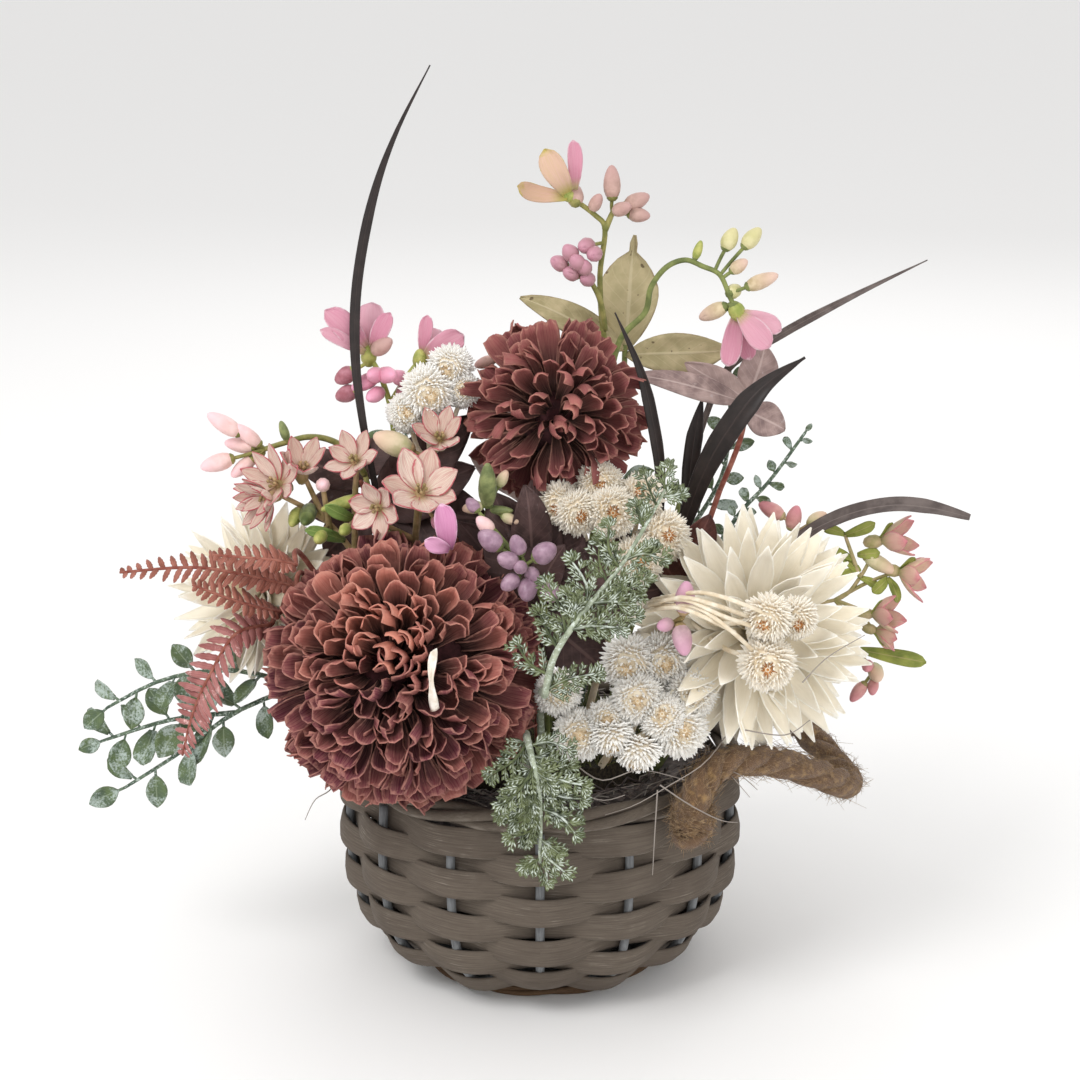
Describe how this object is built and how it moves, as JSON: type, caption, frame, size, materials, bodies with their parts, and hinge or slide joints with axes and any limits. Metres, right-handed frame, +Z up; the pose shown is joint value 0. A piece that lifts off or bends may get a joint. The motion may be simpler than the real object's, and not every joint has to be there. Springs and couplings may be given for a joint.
{
  "type": "flower basket arrangement",
  "caption": "Artificial and dried flowers, ferns and leaves arranged in a round woven willow basket with a jute rope handle.",
  "frame": {"origin": "middle of the basket's underside, where it stands", "axes": "+Z up; the arrangement's front faces -Y; +X to the viewer's right"},
  "size_m": [0.348, 0.2096, 0.3624],
  "materials": {
    "willow": "matt, weathered",
    "stake": "matt, grey stain",
    "brown_willow": "matt",
    "jute": "hairy twisted fibre",
    "foam": "fine open cells",
    "dark_twig": "matt",
    "dusky_red_petal": "matt cloth",
    "ivory_petal": "matt shaving",
    "straw_petal": "dry, papery",
    "frosted_cedar": "frosted",
    "rose_fern": "matt",
    "green_leaf": "satin, whitened",
    "purple_leaf": "matt cloth",
    "reddish_leaf": "matt cloth",
    "olive_leaf": "matt cloth",
    "dark_blade": "satin",
    "pink_petal": "matt",
    "lilac_berry": "matt",
    "green_bud": "matt",
    "peach_petal": "matt"
  },
  "bodies": {
    "root": {"weave_strip_1": "willow", "weave_strip_2": "willow", "weave_strip_3": "willow", "weave_strip_4": "willow", "weave_strip_5": "willow", "weave_strip_6": "willow", "weave_strip_7": "willow", "weave_strip_8": "willow", "weave_strip_9": "willow", "base_and_stakes": "stake", "bottom_border": "brown_willow", "rim_border": "willow", "rope_handle": "jute", "mum_large": "dusky_red_petal", "mum_small": "dusky_red_petal", "cream_bloom_right": "ivory_petal", "cream_bloom_left": "ivory_petal", "straw_flowers_upper": "straw_petal", "straw_flowers_lower": "straw_petal", "straw_flowers_right": "straw_petal", "straw_flowers_left": "straw_petal", "cedar_centre": "frosted_cedar", "cedar_hanging": "frosted_cedar", "fern_main": "rose_fern", "fern_upper": "rose_fern", "fern_lower": "rose_fern", "fern_drooping": "rose_fern", "eucalyptus_left": "green_leaf", "green_sprig_right": "green_leaf", "green_sprig_behind": "green_leaf", "purple_leaves_top": "purple_leaf", "purple_leaves_left": "purple_leaf", "purple_leaves_centre": "purple_leaf", "reddish_leaves": "reddish_leaf", "olive_leaves": "olive_leaf", "blade_tall": "dark_blade", "blade_middle": "dark_blade", "blade_wide": "dark_blade", "blade_short": "dark_blade", "blade_thin_right": "dark_blade", "blade_arched": "dark_blade", "pink_spray_top": "pink_petal", "pink_spray_arching": "pink_petal", "pink_spray_left": "pink_petal", "pink_spray_far_left": "pink_petal", "lilac_berries": "lilac_berry", "buds_right": "lilac_berry", "green_buds_centre": "green_bud", "star_blossom": "peach_petal", "blossom_spray_left": "peach_petal", "blossom_spray_right": "peach_petal", "eucalyptus_back_left": "green_leaf", "eucalyptus_back_right": "green_leaf", "cedar_back": "frosted_cedar", "purple_leaves_back": "purple_leaf", "foam_block": "foam", "twig_nest": "dark_twig"}
  },
  "joints": []
}
